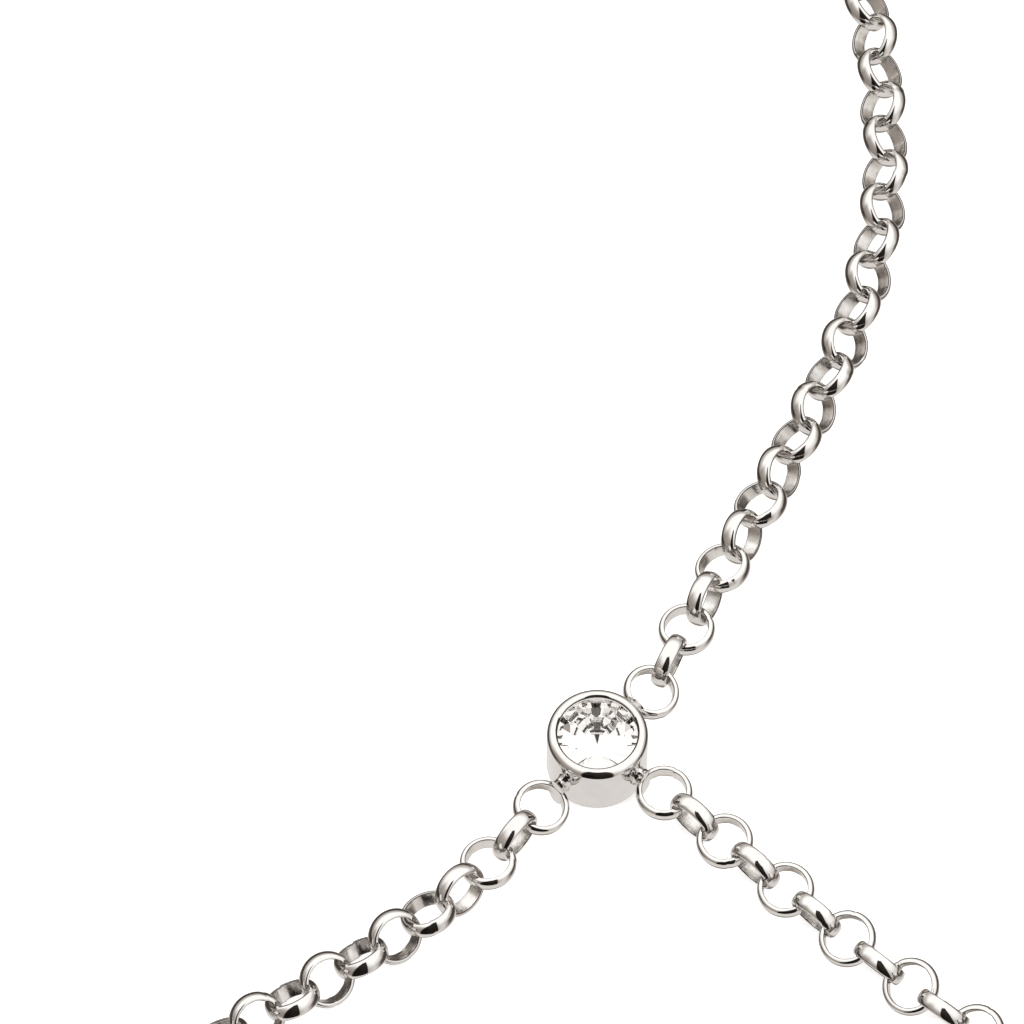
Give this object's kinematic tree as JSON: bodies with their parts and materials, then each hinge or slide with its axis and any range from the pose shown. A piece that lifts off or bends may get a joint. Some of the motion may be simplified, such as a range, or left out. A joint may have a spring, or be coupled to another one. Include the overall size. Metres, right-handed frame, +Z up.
{
  "type": "hand chain bracelet",
  "caption": "Hand chain bracelet: wrist loop and finger loop of belcher chain joined by a strand over the hand at one bezel-set round crystal.",
  "frame": {"origin": "middle of the flat underside of the crystal's setting", "axes": "+Z up from the surface the bracelet lies on, +X along the hand strand from the setting to the finger loop, the wrist loop lies along Y"},
  "size_m": [0.1515, 0.0788, 0.0033],
  "materials": {
    "polished_metal": "polished, bright white metal plating",
    "crystal": "clear cut crystal with a mirror backing"
  },
  "bodies": {
    "root": {"setting": "polished_metal", "stone": "crystal", "upper_wrist_chain": "polished_metal", "lower_wrist_chain": "polished_metal", "clasp": "polished_metal", "hand_chain": "polished_metal", "finger_joining_ring": "polished_metal", "finger_chain": "polished_metal"}
  },
  "joints": []
}
